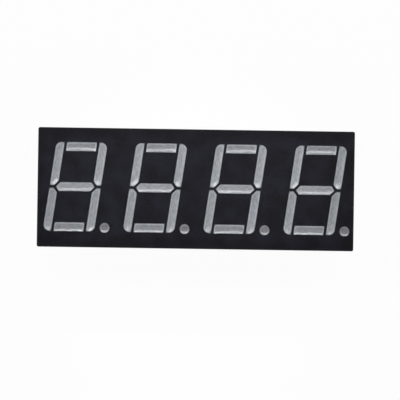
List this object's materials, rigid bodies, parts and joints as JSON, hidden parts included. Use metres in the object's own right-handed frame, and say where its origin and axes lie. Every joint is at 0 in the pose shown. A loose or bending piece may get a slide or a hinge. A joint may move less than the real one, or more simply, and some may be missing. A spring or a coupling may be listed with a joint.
{
  "type": "seven segment display module",
  "caption": "Flat rectangular LED display module with a row of leaning numerals and decimal points, soldered to a circuit board by the pins behind it.",
  "frame": {"origin": "centre of the pin pattern, on the plane of the housing's back rim, which sits on the circuit board", "axes": "+X along the row of digits, from first to last; +Y up the digits; +Z out of the face"},
  "size_m": [0.0502, 0.019, 0.014],
  "materials": {
    "housing_plastic": "black ink on the outside, white reflector plastic in the cavities",
    "segment_epoxy": "milky cast epoxy, glossy face",
    "dot_epoxy": "milky cast epoxy, glossy face",
    "led_chip": "semiconductor crystal",
    "gold_wire": "drawn gold wire",
    "board_laminate": "glass and epoxy laminate",
    "copper": "etched copper foil",
    "tinned_pin": "bright tinned wire",
    "solder": "smooth solder",
    "fill_epoxy": "milky cast epoxy"
  },
  "bodies": {
    "root": {"housing": "housing_plastic", "digit_1_segment_a": "segment_epoxy", "digit_1_segment_b": "segment_epoxy", "digit_1_segment_c": "segment_epoxy", "digit_1_segment_d": "segment_epoxy", "digit_1_segment_e": "segment_epoxy", "digit_1_segment_f": "segment_epoxy", "digit_1_segment_g": "segment_epoxy", "digit_2_segment_a": "segment_epoxy", "digit_2_segment_b": "segment_epoxy", "digit_2_segment_c": "segment_epoxy", "digit_2_segment_d": "segment_epoxy", "digit_2_segment_e": "segment_epoxy", "digit_2_segment_f": "segment_epoxy", "digit_2_segment_g": "segment_epoxy", "digit_3_segment_a": "segment_epoxy", "digit_3_segment_b": "segment_epoxy", "digit_3_segment_c": "segment_epoxy", "digit_3_segment_d": "segment_epoxy", "digit_3_segment_e": "segment_epoxy", "digit_3_segment_f": "segment_epoxy", "digit_3_segment_g": "segment_epoxy", "digit_4_segment_a": "segment_epoxy", "digit_4_segment_b": "segment_epoxy", "digit_4_segment_c": "segment_epoxy", "digit_4_segment_d": "segment_epoxy", "digit_4_segment_e": "segment_epoxy", "digit_4_segment_f": "segment_epoxy", "digit_4_segment_g": "segment_epoxy", "digit_1_decimal_point": "dot_epoxy", "digit_2_decimal_point": "dot_epoxy", "digit_3_decimal_point": "dot_epoxy", "digit_4_decimal_point": "dot_epoxy", "digit_1_led_chips": "led_chip", "digit_2_led_chips": "led_chip", "digit_3_led_chips": "led_chip", "digit_4_led_chips": "led_chip", "digit_1_bond_wires": "gold_wire", "digit_2_bond_wires": "gold_wire", "digit_3_bond_wires": "gold_wire", "digit_4_bond_wires": "gold_wire", "circuit_board": "board_laminate", "copper_pads": "copper", "pin_1": "tinned_pin", "pin_2": "tinned_pin", "pin_3": "tinned_pin", "pin_4": "tinned_pin", "pin_5": "tinned_pin", "pin_6": "tinned_pin", "pin_7": "tinned_pin", "pin_8": "tinned_pin", "pin_9": "tinned_pin", "pin_10": "tinned_pin", "pin_11": "tinned_pin", "pin_12": "tinned_pin", "solder_joints": "solder", "back_fill": "fill_epoxy"}
  },
  "joints": []
}
